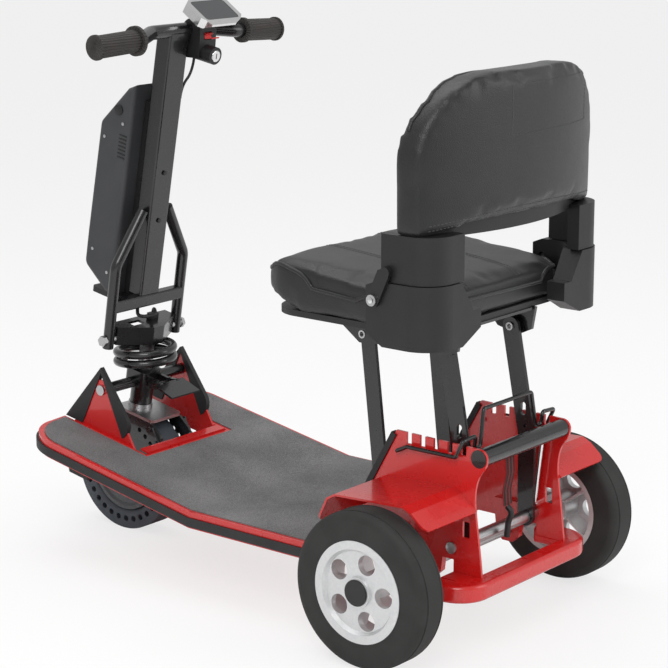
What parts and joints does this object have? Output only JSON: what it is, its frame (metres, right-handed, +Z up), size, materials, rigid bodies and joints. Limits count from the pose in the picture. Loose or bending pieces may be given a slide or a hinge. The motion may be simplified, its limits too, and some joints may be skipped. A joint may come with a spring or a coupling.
{
  "type": "folding mobility scooter",
  "caption": "Folding mobility scooter with two rear wheels, a driven steered front wheel, a low deck, a folding tiller with a battery, and a folding seat with a backrest.",
  "frame": {"origin": "on the floor, under the middle of the scooter's outline", "axes": "+X forward in the direction of travel, +Y to the rider's left, +Z up"},
  "size_m": [0.9121, 0.552, 0.8801],
  "materials": {
    "red_paint": "gloss",
    "black_paint": "gloss",
    "black_rubber": "matt",
    "grey_tyre": "matt",
    "blue_tyre": "matt",
    "deck_mat": "gritty",
    "silver_rim": "satin",
    "motor_cast": "satin",
    "red_alloy": "gloss paint",
    "steel": "brushed",
    "chrome": "polished",
    "black_plastic": "fine texture",
    "grey_plastic": "fine texture",
    "red_plastic": "gloss",
    "dark_glass": "gloss",
    "black_vinyl": "grained",
    "webbing": "woven"
  },
  "bodies": {
    "chassis": {"rear_axle": "steel", "deck_tray": "red_alloy", "deck_mat": "deck_mat", "deck_bumper": "black_rubber", "deck_feet": "black_rubber", "tower_plates": "red_paint", "edge_trims": "black_rubber", "tower_bolts": "steel", "head_tube": "black_paint", "side_frames": "red_paint", "fenders": "red_paint", "crossbar": "black_paint", "rear_bumper": "red_paint", "seat_pivots": "steel", "back_stay": "chrome", "carry_strap": "webbing", "strap_hook": "black_plastic"},
    "steering": {"steering_stem": "steel", "fork_cheeks": "black_paint", "fork_links": "black_paint", "front_axle": "steel", "head_spring": "black_paint", "hinge_bracket": "black_paint", "tiller_pin": "steel", "cable_plug": "black_plastic"},
    "front_wheel": {"hub_motor": "motor_cast", "front_tyre": "blue_tyre"},
    "tiller": {"yoke_frame": "black_paint", "mast": "black_paint", "handlebar": "black_paint", "grip_left": "black_rubber", "switch_pod": "black_plastic", "display_case": "chrome", "display_glass": "dark_glass", "battery_rail": "black_plastic", "battery_pack": "grey_plastic", "cables": "black_rubber"},
    "throttle": {"throttle_grip": "black_rubber"},
    "rocker": {"rocker_switch": "red_plastic"},
    "key": {"key_lock": "chrome"},
    "rear_links": {"rear_legs": "black_paint"},
    "front_links": {"front_legs": "black_paint"},
    "seat": {"seat_rails": "black_paint", "seat_pins": "steel", "seat_shell": "black_plastic", "seat_cushion": "black_vinyl", "backrest_sockets": "black_plastic", "backrest_bolts": "steel"},
    "backrest": {"backrest_frame": "black_plastic", "backrest_cover": "black_vinyl"},
    "bail": {"lock_bail": "black_paint"},
    "pedal": {"release_pedal": "black_paint"},
    "rear_wheel_left": {"rear_tyre_left": "grey_tyre", "rear_rim_left": "silver_rim", "wheel_bearings_left": "steel", "hub_cap_left": "black_plastic"},
    "rear_wheel_right": {"rear_tyre_right": "grey_tyre", "rear_rim_right": "silver_rim", "wheel_bearings_right": "steel", "hub_cap_right": "black_plastic"}
  },
  "joints": [
    {"name": "rear_wheel_left_spin", "type": "hinge", "parent": "chassis", "child": "rear_wheel_left", "pos_m": [-0.342, 0.244, 0.114], "axis": [0, 1, 0], "continuous": true},
    {"name": "rear_wheel_right_spin", "type": "hinge", "parent": "chassis", "child": "rear_wheel_right", "pos_m": [-0.342, -0.244, 0.114], "axis": [0, 1, 0], "continuous": true},
    {"name": "steer", "type": "hinge", "parent": "chassis", "child": "steering", "pos_m": [0.3536, 0, 0.1025], "axis": [-0.1788, 0, 0.9839], "range_deg": [-35, 35]},
    {"name": "front_wheel_spin", "type": "hinge", "parent": "steering", "child": "front_wheel", "pos_m": [0.3536, 0, 0.1025], "axis": [0, 1, 0], "continuous": true},
    {"name": "tiller_fold", "type": "hinge", "parent": "steering", "child": "tiller", "pos_m": [0.32518, 0, 0.3372], "axis": [0, 1, 0], "range_deg": [-20, 0]},
    {"name": "throttle_twist", "type": "hinge", "parent": "tiller", "child": "throttle", "pos_m": [0.21055, -0.108, 0.82812], "axis": [-0.0028, -0.9991, -0.0433], "range_deg": [0, 30], "stiffness_Nm_per_rad": 0.15, "springref_deg": -2.86},
    {"name": "rocker_tilt", "type": "hinge", "parent": "tiller", "child": "rocker", "pos_m": [0.19553, -0.044, 0.82132], "axis": [0, 1, 0], "range_deg": [-5, 5]},
    {"name": "key_turn", "type": "hinge", "parent": "tiller", "child": "key", "pos_m": [0.19699, -0.044, 0.79313], "axis": [-0.9839, 0, -0.1788], "range_deg": [0, 90]},
    {"name": "seat_fold", "type": "hinge", "parent": "chassis", "child": "rear_links", "pos_m": [-0.384, 0, 0.145], "axis": [0, 1, 0], "range_deg": [0, 50]},
    {"name": "front_link_fold", "type": "hinge", "parent": "chassis", "child": "front_links", "pos_m": [-0.243, 0, 0.143], "axis": [0, 1, 0], "range_deg": [0, 50]},
    {"name": "seat_level", "type": "hinge", "parent": "rear_links", "child": "seat", "pos_m": [-0.351, 0, 0.431], "axis": [0, 1, 0], "range_deg": [-50, 0]},
    {"name": "backrest_fold", "type": "hinge", "parent": "seat", "child": "backrest", "pos_m": [-0.328, 0, 0.517], "axis": [0, 1, 0], "range_deg": [0, 75]},
    {"name": "bail_lift", "type": "hinge", "parent": "chassis", "child": "bail", "pos_m": [-0.288, 0, 0.272], "axis": [0, 1, 0], "range_deg": [0, 8]},
    {"name": "pedal_press", "type": "hinge", "parent": "chassis", "child": "pedal", "pos_m": [0.28591, 0, 0.25688], "axis": [0, 1, 0], "range_deg": [-10, 0], "stiffness_Nm_per_rad": 2, "springref_deg": 4.58}
  ],
  "couplings": [
    {"joint": "front_link_fold", "follows": "seat_fold", "ratio": 1},
    {"joint": "seat_level", "follows": "seat_fold", "ratio": -1}
  ]
}
